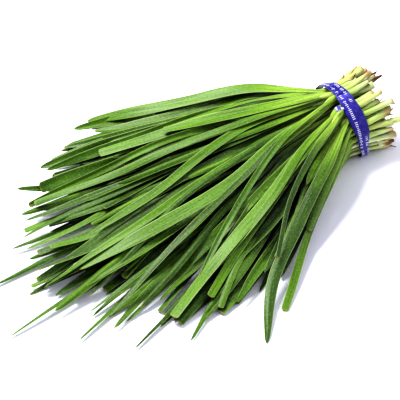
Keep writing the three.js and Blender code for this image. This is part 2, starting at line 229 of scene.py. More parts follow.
def smooth_path(points, at, samples):
    """A smooth curve through points that are passed at the distances "at", read at the distances "samples".

    Between two points it is a cubic whose slope at each point is that of the line from the point before
    to the point after, and at an end that of the last straight piece."""
    slopes = np.empty_like(points)
    slopes[1:-1] = (points[2:] - points[:-2]) / (at[2:] - at[:-2])[:, None]
    slopes[0] = (points[1] - points[0]) / (at[1] - at[0])
    slopes[-1] = (points[-1] - points[-2]) / (at[-1] - at[-2])
    k = np.clip(np.searchsorted(at, samples, side="right") - 1, 0, len(at) - 2)
    span = (at[k + 1] - at[k])[:, None]
    t = (samples - at[k])[:, None] / span
    return (
        (2 * t**3 - 3 * t**2 + 1) * points[k]
        + (t**3 - 2 * t**2 + t) * span * slopes[k]
        + (3 * t**2 - 2 * t**3) * points[k + 1]
        + (t**3 - t**2) * span * slopes[k + 1]
    )


def level_axes(ahead):
    """The level direction across "ahead", and the one that stands square on both."""
    side = unit(np.cross([0.0, 0.0, 1.0], ahead))
    return side, np.cross(ahead, side)


def rolled(side, up, angle):
    """Two square directions turned by an angle in their own plane."""
    return side * np.cos(angle) + up * np.sin(angle), up * np.cos(angle) - side * np.sin(angle)


def carried(middle, side, up, across, height):
    """A section carried along a path: each point is its ring's middle, plus across times side, plus
    height times up. across and height are grids of rings by points, or one section for every ring."""
    side, up = (np.broadcast_to(axis, middle.shape)[:, None] for axis in (side, up))
    return middle[:, None] + side * np.asarray(across)[..., None] + up * np.asarray(height)[..., None]


def flat_section(columns):
    """A strip's closed section: places across it, from -1 to 1 and back, and which face each is on, 1 on
    the way there and 0 on the way back."""
    there = np.linspace(-1, 1, columns)
    return np.concatenate([there, there[::-1]]), np.repeat([1.0, 0.0], columns)


class Shell:
    """Closed tubes gathered into one mesh, with what its materials read at every vertex."""

    def __init__(self):
        self.points, self.quads, self.tris, self.quad_slots, self.tri_slots = [], [], [], [], []
        self.values = {}
        self.count = 0

    def tube(self, rings, values, slots=0, flip=False):
        """Adds a closed tube. rings is a grid, ring by ring along it and point by point round it, seen
        turning to the left from its far end, or to the right where flip says so. Each end is closed by a
        fan round the ring's middle point. values holds, for each name, three values that are numbers or
        fit the grid, and slots says which material the faces between two rings have."""
        order = slice(None, None, -1) if flip else slice(None)
        rings = rings[:, order]
        along, around = rings.shape[:2]
        number = self.count + np.arange(along * around).reshape(along, around)
        after = np.roll(number, -1, axis=1)
        quads = np.stack([number[:-1], after[:-1], after[1:], number[1:]], axis=-1).reshape(-1, 4)
        centres = self.count + along * around + np.arange(2)
        first = np.stack([np.full(around, centres[0]), after[0], number[0]], axis=-1)
        last = np.stack([np.full(around, centres[1]), number[-1], after[-1]], axis=-1)
        self.points.append(np.concatenate([rings.reshape(-1, 3), rings[[0, -1]].mean(axis=1)]))
        for name, parts in values.items():
            value = np.stack([np.broadcast_to(part, (along, around)) for part in parts], axis=-1)[:, order]
            ends = value[[0, -1]].mean(axis=1)
            self.values.setdefault(name, []).append(np.concatenate([value.reshape(-1, 3), ends]))
        slots = np.broadcast_to(slots, along - 1)
        self.quads.append(quads)
        self.tris.append(np.concatenate([first, last]))
        self.quad_slots.append(np.repeat(slots, around))
        self.tri_slots.append(np.repeat(slots[[0, -1]], around))
        self.count += along * around + 2

    def piece(self, name, materials):
        """Makes the gathered tubes one object at the world origin, in metres."""
        quads, tris = np.concatenate(self.quads), np.concatenate(self.tris)
        mesh = bpy.data.meshes.new(name)
        mesh.vertices.add(self.count)
        mesh.vertices.foreach_set("co", ((np.concatenate(self.points) + NECK) * MM).ravel())
        mesh.loops.add(quads.size + tris.size)
        mesh.loops.foreach_set("vertex_index", np.concatenate([quads.ravel(), tris.ravel()]))
        mesh.polygons.add(len(quads) + len(tris))
        starts = np.concatenate([np.arange(len(quads)) * 4, quads.size + np.arange(len(tris)) * 3])
        mesh.polygons.foreach_set("loop_start", starts)
        mesh.polygons.foreach_set("material_index", np.concatenate(self.quad_slots + self.tri_slots))
        mesh.polygons.foreach_set("use_smooth", np.ones(len(starts), bool))
        for value_name, arrays in self.values.items():
            attribute = mesh.attributes.new(value_name, "FLOAT_VECTOR", "POINT")
            attribute.data.foreach_set("vector", np.concatenate(arrays).ravel())
        mesh.update()
        mesh.validate()
        for material in materials:
            mesh.materials.append(material)
        piece = bpy.data.objects.new(name, mesh)
        bpy.context.scene.collection.objects.link(piece)
        return piece


# ---- materials ----


def rgba(settings_colour):
    """A colour setting with its fourth channel, as sockets take it."""
    return (*settings_colour, 1.0)


class Finish:
    """A material under way. Its plain values are set on its Principled shader's own sockets."""

    def __init__(self, name, roughness, **more):
        self.material = bpy.data.materials.new(name)
        self.material.use_nodes = True
        self.tree = self.material.node_tree
        self.shader = self.tree.nodes["Principled BSDF"].inputs
        self.shader["Roughness"].default_value = roughness
        for key, value in more.items():
            self.shader[key.replace("_", " ").title().replace("Ior", "IOR")].default_value = value

    def add(self, kind, inputs=(), to=None, **settings):
        """Adds a node of this kind with its settings, links or sets its inputs, which are given in order or
        by name, and links its first output to the shader's input "to". Returns its outputs."""
        node = self.tree.nodes.new("ShaderNode" + kind)
        for key, value in settings.items():
            setattr(node, key, value)
        for key, value in inputs.items() if isinstance(inputs, dict) else enumerate(inputs):
            if isinstance(value, bpy.types.NodeSocket):
                self.tree.links.new(value, node.inputs[key])
            else:
                node.inputs[key].default_value = value
        if to:
            self.tree.links.new(node.outputs[0], self.shader[to])
        return node.outputs

    def read(self, name):
        """The vector that the piece holds under this name at each vertex, and its three values."""
        vector = self.add("Attribute", attribute_name=name)["Vector"]
        return vector, *self.add("SeparateXYZ", [vector])

    def grain(self, place, scale):
        """Noise over a piece's own place, so many grains to the mm across, along and from item to item."""
        stretched = self.add("Mapping", {"Vector": place, "Scale": scale})[0]
        return self.add("TexNoise", {"Vector": stretched, "Scale": 1.0, "Detail": 3.0})["Fac"]

    def paint(self, ground, *layers):
        """Lays colours over the ground colour, one after another, as the base colour.

        A layer is a colour and the factors whose product is its cover. A factor is a socket, a number, or
        a socket with two limits: 0 where it is under the first, 1 over the second, eased between them."""
        body = rgba(ground)
        for over, *factors in layers:
            cover = None
            for factor in factors:
                if isinstance(factor, tuple):
                    limits = dict(zip(("Value", "From Min", "From Max"), factor))
                    factor = self.add("MapRange", limits, interpolation_type="SMOOTHSTEP")[0]
                if cover is not None:
                    factor = self.add("Math", [cover, factor], operation="MULTIPLY")[0]
                cover = factor
            body = self.add("Mix", {0: cover, 6: body, 7: rgba(over)}, data_type="RGBA")[2]
        self.tree.links.new(body, self.shader["Base Color"])


def leaf_material(leaf):
    """Chive leaf: a firm, finely veined blade under a thin coat of wax.

    The wax gives broad, soft highlights, and a bluish bloom on some blades. The veins run lengthwise,
    lighter than the furrows between them. Margins are thin and paler, partly their own colour and partly
    a painted highlight where the edges catch the light. The base is pale and each blade has its own age.
    What lies deep in the bunch is darkened by painted shade, less so near the neck. Real veins are 0.3 to
    0.5 mm apart and real cells far finer than a grain of 1 mm, so both are drawn coarser here to show."""
    finish = Finish("chive leaf", 0.44, ior=1.42, specular_ior_level=0.4)
    place, _, along, _ = finish.read("place")
    _, _, margin, dryness = finish.read("growth")
    _, age, young, waxy = finish.read("age")
    hidden = finish.read("cover")[1]
    veins = finish.grain(place, (1 / leaf.vein_spacing, 1 / (30 * leaf.vein_spacing), 1.0))
    cells = finish.grain(place, (1.0, 0.7, 1.0))
    mottle = finish.grain(place, (0.3, 0.06, 1.0))
    freshness = finish.add("Math", [young, 0.25, 0.7], operation="MULTIPLY_ADD")[0]
    paleness = finish.add("Math", [age, 0.5, 0.48], operation="MULTIPLY_ADD")[0]
    # How strongly the painted shade darkens hidden parts: less near the neck, more further out.
    beyond_neck = {"Value": along, "From Min": 12.0, "From Max": 80.0, "To Min": 0.4, "To Max": 0.9}
    painted_shade_strength = finish.add("MapRange", beyond_neck, interpolation_type="SMOOTHSTEP")[0]
    finish.paint(
        leaf.deep,
        (leaf.green, (age, 0.0, 1.0)),
        (leaf.fresh, young, 0.8),
        (leaf.bloom, waxy, 0.38),
        (leaf.fresh, (mottle, 0.45, 0.75), 0.3),
        (leaf.fresh, (along, 75.0, 10.0), freshness),
        (leaf.pale, (along, 58.0, 12.0), paleness),
        (leaf.deep, (veins, 0.6, 0.3), 0.6),
        (leaf.margin, (cells, 0.5, 0.7), 0.22),
        (leaf.deep, (cells, 0.48, 0.32), 0.3),
        # The margins: partly their own paler colour and partly a painted highlight on the thin edges.
        (leaf.margin, (margin, 0.86, 0.97), 0.85),
        (leaf.dry, dryness),
        # Painted shade: darkens what lies deep in the bunch.
        (leaf.painted_shade, hidden, painted_shade_strength),
    )
    finish.add("Bump", {"Height": veins, "Distance": 0.16 * MM, "Strength": 0.6}, to="Normal")
    return finish.material


def sheath_material(leaf, sheath):
    """Leaf sheath: smooth, watery stem skin, cream at the cut end and yellow-green at the mouth.

    Each sheath is a few leaf bases wrapped round each other, whose veins show as long stripes of green;
    the darkest stripes are painted shade in the seams along the bases' edges. They are drawn about 0.5 mm
    apart, coarser than the real veins, to show."""
    finish = Finish("chive sheath", 0.38, ior=1.4, specular_ior_level=0.5)
    place = finish.read("place")[0]
    _, from_cut, _, dryness = finish.read("growth")
    _, age, yellow, _ = finish.read("age")
    hidden = finish.read("cover")[2]
    stripes = finish.grain(place, (1.8, 0.05, 1.0))
    finish.paint(
        sheath.pale,
        (sheath.green, (from_cut, 0.0, 0.5), (age, 0.1, 0.7)),
        (sheath.green, age, 0.5),
        (sheath.yellow, yellow, 0.8),
        (sheath.green, (stripes, 0.48, 0.66), 0.75),
        # Painted shade: the darkest stripes, in the seams between the wrapped leaf bases.
        (leaf.fresh, (stripes, 0.46, 0.3), 0.75),
        (sheath.skin, dryness),
        # Painted shade: darkens sheaths that lie deep in the bunch.
        (leaf.painted_shade, hidden, 0.85),
    )
    finish.add("Bump", {"Height": stripes, "Distance": 0.2 * MM, "Strength": 0.5}, to="Normal")
    return finish.material


def cut_face_material(sheath):
    """Cut stem end: wet, pale layers wound inside each other, seen as rings, brown where it has dried."""
    finish = Finish("cut sheath end", 0.5, ior=1.38)
    place = finish.read("place")[0]
    dryness = finish.read("growth")[3]
    wound = {"Vector": place, "Scale": 0.35, "Distortion": 1.0, "Detail": 1.0}
    rings = finish.add("TexWave", wound, wave_type="BANDS", bands_direction="X")["Fac"]
    finish.paint(sheath.cut, (sheath.green, rings, 0.4), (sheath.skin_dark, dryness))
    return finish.material


def skin_material(sheath):
    """Dried sheath skin: dull, papery and streaked, darkest at its torn tip."""
    finish = Finish("dried sheath skin", 0.75, ior=1.45)
    place = finish.read("place")[0]
    _, to_tip, _, rot = finish.read("growth")
    streaks = finish.grain(place, (1.6, 0.2, 1.0))
    finish.paint(
        sheath.pale,
        (sheath.skin, (to_tip, 0.0, 0.6)),
        (sheath.skin_dark, (to_tip, 0.2, 0.75), rot),
        (sheath.skin, (streaks, 0.4, 0.7), 0.5),
    )
    return finish.material


def dash_row(finish, tie, along, across, middle):
    """Two factors that are 1 on the dashes of one row round the band and 0 between them. In each pitch a
    draw says how far the dash reaches across the band, or leaves it out."""
    turn = finish.add("Math", [along, tie.dash_pitch], operation="DIVIDE")[0]
    past = finish.add("Math", [turn], operation="FRACT")[0]
    in_dash = finish.add("Math", [past, tie.dash_width / tie.dash_pitch], operation="LESS_THAN")[0]
    dash = finish.add("Math", [turn], operation="FLOOR")[0]
    dash = finish.add("Math", [dash, 100.0 * middle], operation="ADD")[0]
    drawn = finish.add("TexWhiteNoise", {"W": dash}, noise_dimensions="1D")["Value"]
    limits = {"Value": drawn, "From Min": 0.06, "From Max": 0.5, "To Max": tie.dash_length / 2}
    reach = finish.add("MapRange", limits, interpolation_type="SMOOTHSTEP")[0]
    away = finish.add("Math", [across, middle], operation="SUBTRACT")[0]
    away = finish.add("Math", [away], operation="ABSOLUTE")[0]
    return finish.add("Math", [away, reach], operation="LESS_THAN")[0], in_dash


def film_material(tie):
    """Printed polythene film: smooth and glossy, cloudy, and paler where it laps and along its creases,
    partly stress-whitened film and partly a painted highlight, with two rows of plain white dashes."""
    finish = Finish("printed tie film", 0.3, ior=1.5, specular_ior_level=0.3, coat_weight=0.05)
    place, across, along, _ = finish.read("place")
    _, stretched, outer_face, second_row = finish.read("growth")
    cloudy = finish.add("TexNoise", {"Vector": place, "Scale": 0.35, "Detail": 3.0})["Fac"]
    finish.paint(
        tie.film,
        # Partly stress-whitened film and partly a painted highlight, over the lap and the crease ridges.
        (tie.film_light, stretched),
        (tie.film_light, (cloudy, 0.5, 0.8), 0.2),
        (tie.print_white, *dash_row(finish, tie, along, across, -DASH_ROW), outer_face, 0.85),
        (tie.print_white, *dash_row(finish, tie, along, across, DASH_ROW), second_row, outer_face, 0.85),
    )
    return finish.material


# ---- what the CAD nodes say ----

LEVEL_PITCH = 0.81  # between the levels at which a pair's blades leave it, taken in turn by its two sheaths
FREE_OF_NECK = 56.0  # past this distance a node is only blades, each a chain of four-cornered rings
NEAREST_RING = 33.0  # a blade's ring closest to the neck lies within this distance
TIE_EDGE = 5.25  # half the tie's width, where a sheath begins to lean away from its neighbours
SHEATH_END = -9.5  # where the blades come free
ROOT = -6.6  # where they begin, inside their sheath


def node_surface(name):
    """A CAD node's corners, each once, in mm from the neck's foot, and its triangles as corner numbers."""
    mesh = frame["nodes"][name].data
    points = np.empty(len(mesh.vertices) * 3)
    mesh.vertices.foreach_get("co", points)
    loops = np.empty(len(mesh.loops), dtype=int)
    mesh.loops.foreach_get("vertex_index", loops)
    corners, number = np.unique(np.round(points.reshape(-1, 3) / MM - NECK, 2), axis=0, return_inverse=True)
    return corners, number.reshape(-1)[loops].reshape(-1, 3)


def blade_chains(corners, triangles):
    """The blades of a node: for each, its middle near the neck, its ring middles and its half sides.

    Corners beyond the neck that triangles join belong to one blade. Sorted by their distance they come
    ring by ring, and in a ring the two corners further to the left make one side."""
    distance = np.hypot(corners[:, 0], corners[:, 1])
    out = distance > FREE_OF_NECK
    edges = np.concatenate([triangles[:, [0, 1]], triangles[:, [1, 2]], triangles[:, [2, 0]]])
    label = np.arange(len(corners))
    inside = edges[out[edges].all(axis=1)]
    for _ in range(40):
        lowest = np.minimum(label[inside[:, 0]], label[inside[:, 1]])
        np.minimum.at(label, inside[:, 0], lowest)
        np.minimum.at(label, inside[:, 1], lowest)
    chains = []
    for blade in np.unique(label[out]):
        own = np.flatnonzero(out & (label == blade))
        own = own[np.argsort(distance[own])]
        if len(own) % 4:
            raise RuntimeError(f"a blade has {len(own)} corners, which isn't whole rings of four")
        rings = corners[own].reshape(-1, 4, 3)
        crossing = edges[np.isin(edges[:, 0], own[:4]) & (distance[edges[:, 1]] < NEAREST_RING)]
        near = corners[np.unique(crossing[:, 1])].mean(axis=0)
        middles = rings.mean(axis=1)
        ahead = np.diff(np.vstack([near, middles]), axis=0)[:, :2]
        left = np.stack([-ahead[:, 1], ahead[:, 0]], axis=1)
        side = np.einsum("rcd,rd->rc", rings[:, :, :2] - middles[:, None, :2], left)
        order = np.argsort(side, axis=1)
        sides = np.take_along_axis(rings, order[:, :, None], axis=1)
        halves = (sides[:, 2:].mean(axis=1) - sides[:, :2].mean(axis=1)) / 2
        chains.append((near, middles, halves))
    return chains


def sheath_ends(corners):
    """The two sheaths of a node: the middle of each at the tie's edge, and of its cut end."""
    at_tie = corners[np.abs(corners[:, 0] - TIE_EDGE) < 1]
    cut = corners[corners[:, 0] > TIE_EDGE + 5]
    ends = []
    for part in (-1, 1):
        middle = at_tie[:, 1].mean()
        tie = at_tie[(at_tie[:, 1] - middle) * part > 0].mean(axis=0)
        cut_middle = (cut[:, 1].min() + cut[:, 1].max()) / 2
        ends.append((tie, cut[(cut[:, 1] - cut_middle) * part > 0].mean(axis=0)))
    return ends


# ---- blades ----

ROUND_BLADE = 20  # points round a blade, one of them on each margin
BLADE_RINGS, TIP_RINGS = 60, 9  # along a blade, and along its last stretch
TIP_STRETCH = 6.0  # that stretch, where the rings stand closer
STRAIGHTENING = 0.75  # how far a blade's ring near the neck moves on to the line from its root
STIFF_LENGTH = 20.0  # a blade is straight and flat so far from its root
LIMP_OVER = 60.0  # and free to wave, roll and fold this much further on
STALK_LENGTH = 34.0  # over which its thick base thins
TWIST = math.radians(7)  # how far a blade rolls to either side on its way
FAR_FLANK = math.radians(4)  # blades that head further to the far side lie rolled over and broad
FLANK_OVER = 0.35  # and fully so this many radians further on
FLANK_ROLL = math.radians(30)
SLIMMEST, BROADEST, FLANK_BREADTH = 0.66, 1.06, 1.2  # a blade's width, as shares of its CAD width
# From one heading to another, in degrees, tips that are nearer than this, in mm, reach so much further.
REACH_SECTORS = (
    (-35.0, -7.0, 222.0, 13.0),
    (-42.5, -35.0, 170.0, -20.0),
)
EASING = np.array([0.35, 0.35, 0.7])  # how far a limp blade's bends ease along X, Y and Z, as shares


def blade_width(share_along, full_width, blunt):
    """A blade's width: narrow in its sheath, full from a quarter of its length on, then a long taper to
    a point, or hardly any to a blunt end."""
    base = mix(0.42, 1.0, ease(share_along / 0.27))
    tip = 0.84 if blunt else 0.32
    taper = mix(1.0, tip, np.clip((share_along - 0.76) / 0.24, 0, 1) ** 1.8)
    return full_width * base * taper


def limp_path(path, easing):
    """The CAD's stiff pieces laid as one limp blade: each bend moves a share of the way on to the straight
    line between the bends before and after it, but never upwards."""
    at = distances(path)
    eased = path.copy()
    for k in range(2, len(path) - 1):
        line = mix(path[k - 1], path[k + 1], (at[k] - at[k - 1]) / (at[k + 1] - at[k - 1]))
        eased[k] += easing * np.minimum(line - path[k], [np.inf, np.inf, 0.0])
    eased[1] = mix(path[1], mix(path[0], eased[2], at[1] / at[2]), STRAIGHTENING)
    return eased


def drawn_out(path):
    """The blade's path, its tip moved on or back by its sector's reach, and let down where it moves on.

    A sector's reach fades out over 2.5 degrees inside its headings and 15 mm short of its furthest tip."""
    tip = path[-1]
    heading, distance = math.degrees(math.atan2(tip[1], -tip[0])), math.hypot(tip[0], tip[1])
    reach = 0.0
    for low, high, furthest, most in REACH_SECTORS:
        inside = ease((heading - low) / 2.5) * ease((high - heading) / 2.5)
        reach += most * float(inside * ease((furthest - distance) / 15))
    moved = path.copy()
    moved[-1] += unit(tip - path[-2]) * reach
    moved[-1, 2] = max(moved[-1, 2] - 0.35 * max(reach, 0.0), min(tip[2], 1.2))
    return moved


def add_blade(shell, leaf, root, near, middles, halves, item):
    """Adds one blade along its CAD rings, and returns a point of its middle a little outside the neck.

    Its middle is a smooth path through the rings' middles, with slow waves laid over it. Across, a point
    at angle a stands at cos(a) of the half width, on a lens whose thickness falls from the middle to the
    margins as 1 less cos(a) squared, and both sides rise from the middle as a shallow trough, or fall."""
    far_flank = float(ease((math.atan2(middles[1][1], -middles[1][0]) - FAR_FLANK) / FLANK_OVER))
    path = drawn_out(limp_path(np.vstack([root, near, middles]), EASING * [1, 1, 1 - far_flank]))
    at = distances(path)
    total = at[-1]
    last = total - TIP_STRETCH
    closing = np.sin(np.linspace(0, math.pi / 2, TIP_RINGS))[1:]
    along = np.concatenate([np.linspace(0, last, BLADE_RINGS), last + TIP_STRETCH * closing])
    widths = 2 * np.linalg.norm(halves, axis=1)
    blunt = widths[-1] > 0.6 * widths.max()
    sides = np.vstack([halves[0] * [1, 1, 0], halves[0] * [1, 1, 0], halves])
    middle = smooth_path(path, at, along)
    ahead = unit(np.gradient(middle, along, axis=0))
    side = smooth_path(unit(sides), at, along)
    side = unit(side - ahead * (side * ahead).sum(axis=1, keepdims=True))
    up = np.cross(ahead, side)

    phase = 2 * math.pi * draw(item, 41)
    turn = 2 * math.pi * along / (leaf.wave_length * mix(0.7, 1.4, draw(item, 42)))
    free = ease((along - STIFF_LENGTH) / LIMP_OVER)
    roll = free * (TWIST * np.sin(0.8 * turn + 2 * phase) - FLANK_ROLL * far_flank)
    side, up = rolled(side, up, roll[:, None])
    middle = middle + up * (leaf.wave_height / 2 * free * np.sin(turn + phase))[:, None]
    middle = middle + side * (0.5 * free * np.sin(0.7 * turn + phase / 2))[:, None]

    full_width = widths.max() * mix(mix(SLIMMEST, BROADEST, draw(item, 80)), FLANK_BREADTH, far_flank)
    half = blade_width(along / total, full_width, blunt) / 2
    rounding = 1.4 if blunt else min(5.0, 2.2 + widths.max() / 2)
    power = 3.0 if blunt else 2.0
    rounded = np.clip((along - (total - rounding)) / rounding, 0, 1)
    half = np.maximum(half * np.maximum(1 - rounded**power, 0.0) ** (1 / power), 0.12)

    angle = 2 * math.pi * np.arange(ROUND_BLADE) / ROUND_BLADE
    across, level = np.cos(angle), np.sin(angle)
    stalk = (1 - ease(along / STALK_LENGTH))[:, None]
    thickness = mix(leaf.middle_thickness, leaf.stalk_thickness, stalk)
    margin = mix(leaf.margin_thickness, 0.0, stalk)
    thin = np.minimum(1, half / 1.2)[:, None]
    lens = 0.5 * thin * (margin + (thickness - margin) * (1 - across**2))
    rise = np.sign(level) * np.abs(level) ** 0.4 * lens
    fold = leaf.fold * mix(0.25, 1.5, draw(item, 43) ** 1.3) * (1 if draw(item, 44) > 0.3 else -1)
    trough = half[:, None] * fold * free[:, None] * (np.abs(across) ** 1.2 - 0.45)
    rings = carried(middle, side, up, half[:, None] * across, rise + trough)
    rings[..., 2] = above_floor(rings[..., 2])

    dry_length = mix(0.6, 2.0, draw(item, 45)) if blunt else 9.0 * max(0.0, float(draw(item, 46)) - 0.5)
    dry = np.zeros_like(along) if dry_length == 0 else ease((along - total + dry_length) / dry_length)
    values = {
        "place": (half[:, None] * across, along[:, None], 37.0 * (item % 97)),
        "growth": ((along / total)[:, None], np.abs(across), 0.6 * dry[:, None]),
        "age": (draw(item, 47), draw(item, 48) ** 1.8, draw(item, 49) ** 2),
    }
    shell.tube(rings, values)
    return middle[6]


# ---- sheaths ----

ROUND_SHEATH = 20  # points round a sheath
SHEATH_RINGS = 26  # rings along it, after those of its cut face
HALF_WIDTH, HALF_HEIGHT = 2.0, 1.86
DISH_SIZES = [0.06, 0.45, 0.8, 0.93, 1.0]  # the rings of the cut face and its rim, as shares of the sheath
DISH_DEPTHS = [0.9, 0.7, 0.35, 0.0, 0.35]  # and how far along the sheath they lie


def add_sheath(shell, sheath, tie, cut, towards, item):
    """Adds one sheath, from its cut end through the tie to the mouth that its blades leave by.

    The middle is a smooth path, and across it an oval whose outline wanders by two small waves. Behind
    the tie it may be squeezed and rolled. The cut face is a shallow dish of rings, and the mouth narrows
    evenly to its share of the width."""
    cut = cut + [0.0, 3.0 * (draw(item, 58) - 0.5), 2.4 * (draw(item, 59) - 0.5)]
    end = np.array([SHEATH_END, tie[1], tie[2]])
    mouth_length = sheath.mouth_length * mix(0.8, 1.9, draw(item, 70) ** 2)
    mouth = end + unit(towards - end) * mouth_length
    path = np.vstack([cut, mix(cut, tie, 0.5) + [0, 0, 0.3 * (draw(item, 51) - 0.5)], tie, end, mouth])
    at = distances(path)
    along = np.concatenate([DISH_DEPTHS, np.linspace(1.2, at[-1], SHEATH_RINGS)])
    size = np.concatenate([DISH_SIZES, np.ones(SHEATH_RINGS)])
    narrowing = 1 - (1 - sheath.mouth_share) * ease((along - at[3]) / mouth_length)
    middle = smooth_path(path, at, along)
    ahead = unit(smooth_path(path, at, along + 0.1) - smooth_path(path, at, along - 0.1))
    behind_tie = (1 - ease(along / at[2]))[:, None]
    side, up = rolled(*level_axes(ahead), behind_tie * 2.6 * (draw(item, 57) - 0.5))

    angle = 2 * math.pi * np.arange(ROUND_SHEATH) / ROUND_SHEATH
    wander = 1 + 0.05 * np.sin(2 * angle + 6 * draw(item, 52))
    wander = wander + 0.03 * np.sin(3 * angle + 6 * draw(item, 53))
    squeeze = behind_tie * mix(-0.1, 0.42, draw(item, 54))
    reach = (size * narrowing)[:, None] * mix(1.0, mix(0.7, 1.0, draw(item, 50)), behind_tie)
    wide = HALF_WIDTH * reach * (1 + squeeze) * wander * np.cos(angle)
    high = HALF_HEIGHT * reach * (1 - squeeze) * wander * np.sin(angle)

    dry = draw(item, 55) ** 0.6 * (1 - ease(along / mix(2.0, 14.0, draw(item, 56) ** 1.5)))
    face = np.arange(len(along) - 1) < 3
    around = 1.8 * np.where(np.append(face, False)[:, None], size[:, None], angle)
    values = {
        "place": (around, along[:, None], 29.0 * (item % 89)),
        "growth": ((along / at[-1])[:, None], 0.0, dry[:, None]),
        "age": (draw(item, 48), draw(item, 49) ** 2, 0.0),
    }
    shell.tube(carried(middle, side, up, wide, high), values, slots=np.where(face, 2, 1))


class Thicket:
    """How much lies round and over each point: a grid of cells, filled where the bunch is."""

    CELL = 2.0
    REACH = np.array([330.0, 190.0, 30.0])  # from the grid's corner to the neck's foot
    SIZE = (220, 190, 45)
    FULL = 4  # so many corners fill a cell
    STEPS = (3.0, 5.0, 7.5, 11.0, 15.0)  # how far away it looks
    DIMMING = 0.7  # what a full cell on the way takes off

    def __init__(self, points):
        self.filled = np.zeros(self.SIZE)
        cells, counts = np.unique(self.cells(points), axis=0, return_counts=True)
        self.filled[tuple(cells.T)] = np.minimum(1, counts / self.FULL)

    def cells(self, points):
        """The grid cells that points lie in."""
        numbers = ((points + self.REACH) / self.CELL).astype(int)
        return np.clip(numbers, 0, np.array(self.SIZE) - 1)

    def hidden(self, points):
        """0 in the open to 1 deep inside: the mean over thirteen directions, level and upwards, of 1 less
        the product of what every step on the way lets through."""
        directions = [(0.0, 0.0, 1.0)]
        for lift in (0.75, 0.2):
            level = math.sqrt(1 - lift**2)
            for turn in 2 * math.pi * (np.arange(6) + 5 * lift) / 6:
                directions.append((level * math.cos(turn), level * math.sin(turn), lift))
        total = 0.0
        for direction in directions:
            clear = 1.0
            for away in self.STEPS:
                cells = self.cells(points + np.array(direction) * away)
                clear = clear * (1 - self.DIMMING * self.filled[tuple(cells.T)])
            total = total + (1 - clear)
        return total / len(directions)


class CHIVES_OT_shoot_pairs(bpy.types.Operator):
    """Adds every pair of shoots as one piece, two sheaths and their blades, in place of its CAD node"""

    bl_idname = "chives.shoot_pairs"
    bl_label = "Shoot pairs"

    def execute(self, context):
        leaf, sheath = context.scene.chive_leaf, context.scene.chive_sheath
        materials = [leaf_material(leaf), sheath_material(leaf, sheath), cut_face_material(sheath)]
        shells = {node: self.pair(leaf, sheath, number, node) for number, node in enumerate(PAIR_NODES)}
        thicket = Thicket(np.concatenate([points for shell in shells.values() for points in shell.points]))
        for node, shell in shells.items():
            # The cover attribute carries the painted shade: how hidden each point is, eased for the blades
            # and for the sheaths.
            hidden = thicket.hidden(np.concatenate(shell.points))
            for_blades, for_sheaths = ease((hidden - 0.42) / 0.36), ease((hidden - 0.6) / 0.35)
            shell.values["cover"] = [np.stack([for_blades, for_sheaths, hidden], axis=-1)]
            piece = shell.piece(f"chive_{node}", materials)
            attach(piece, "root")
            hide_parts(node)
        return {"FINISHED"}

    def pair(self, leaf, sheath, number, node):
        """The shell of one pair. Its blades' levels say which of the two sheaths each comes from."""
        shell = Shell()
        corners, triangles = node_surface(node)
        sheaths = sheath_ends(corners)
        middle_height = (sheaths[0][0][2] + sheaths[1][0][2]) / 2
        leaving = [[], []]
        for order, (near, middles, halves) in enumerate(blade_chains(corners, triangles)):
            part = (round((near[2] - middle_height) / LEVEL_PITCH) + 2) % 2
            root = np.array([ROOT, sheaths[part][0][1], near[2]])
            leaving[part].append(add_blade(shell, leaf, root, near, middles, halves, 8 * number + order))
        for part, (tie, cut) in enumerate(sheaths):
            add_sheath(shell, sheath, tie, cut, np.mean(leaving[part], axis=0), 2 * number + part)
        return shell


# ---- dried skins ----

SKIN_RINGS, SKIN_COLUMNS = 14, 9
SKIN_RADIUS = 1.95  # how far a skin stands off the sheath's middle


def add_skin(shell, sheath, tie, cut, item):
    """Adds the dried skin on one cut end: a strip that clasps the sheath and bends outwards towards its
    torn tip. Across it is an arc with a small thickness, which spans less and less towards the tip, and
    it bends out as the square of the way from its middle."""
    whole = sheath.skin_length * mix(0.45, 1.0, draw(item, 61))
    beyond = mix(-1.5, 6.0, draw(item, 62) ** 1.5)
    ahead = unit(cut - tie)
    outward, aside = rolled(*level_axes(ahead), 2 * math.pi * draw(item, 63))
    share_along = np.linspace(0, 1, SKIN_RINGS)
    lift = 0.15 + (0.4 + 1.8 * draw(item, 64)) * np.clip((share_along - 0.45) / 0.55, 0, 1) ** 2
    start = cut + ahead * (beyond - whole)
    middle = start + ahead * (whole * share_along)[:, None] + outward * lift[:, None]
    spread = mix(0.8, 2.3, draw(item, 65)) * (1 - 0.7 * share_along**2)
    spread = spread * (0.3 + 0.7 * ease(share_along / 0.3))
    spread = spread * (1 + 0.18 * np.sin(9 * share_along + 6 * draw(item, 66)))
    arc, outer = flat_section(SKIN_COLUMNS)
    radius = SKIN_RADIUS * mix(1.0, 0.9, share_along)[:, None] - (1 - outer) * sheath.skin_thickness
    turn = arc * spread[:, None]
    crinkle = 0.12 * np.sin(5 * arc + 11 * share_along[:, None] + 6 * draw(item, 67)) * share_along[:, None]
    radius = radius + crinkle
    values = {
        "place": (1.8 * turn, (whole * share_along)[:, None], 31.0 * item),
        "growth": (share_along[:, None], 0.0, draw(item, 68) ** 0.6),
    }
    rings = carried(middle, outward, aside, radius * np.cos(turn), radius * np.sin(turn))
    shell.tube(rings, values, flip=True)


class CHIVES_OT_dried_skins(bpy.types.Operator):
    """Adds the papery dried skins that cling to the cut ends"""

    bl_idname = "chives.dried_skins"
    bl_label = "Dried skins"

    def execute(self, context):
        sheath = context.scene.chive_sheath
        ends = [pair for node in PAIR_NODES for pair in sheath_ends(node_surface(node)[0])]
        shell = Shell()
        for item, (tie, cut) in enumerate(ends, start=1):
            if draw(item, 60) < sheath.skin_share:
                add_skin(shell, sheath, tie, cut, item)
        piece = shell.piece("dried_sheath_skins", [skin_material(sheath)])
        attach(piece, "root")
        return {"FINISHED"}


# ---- the tie ----

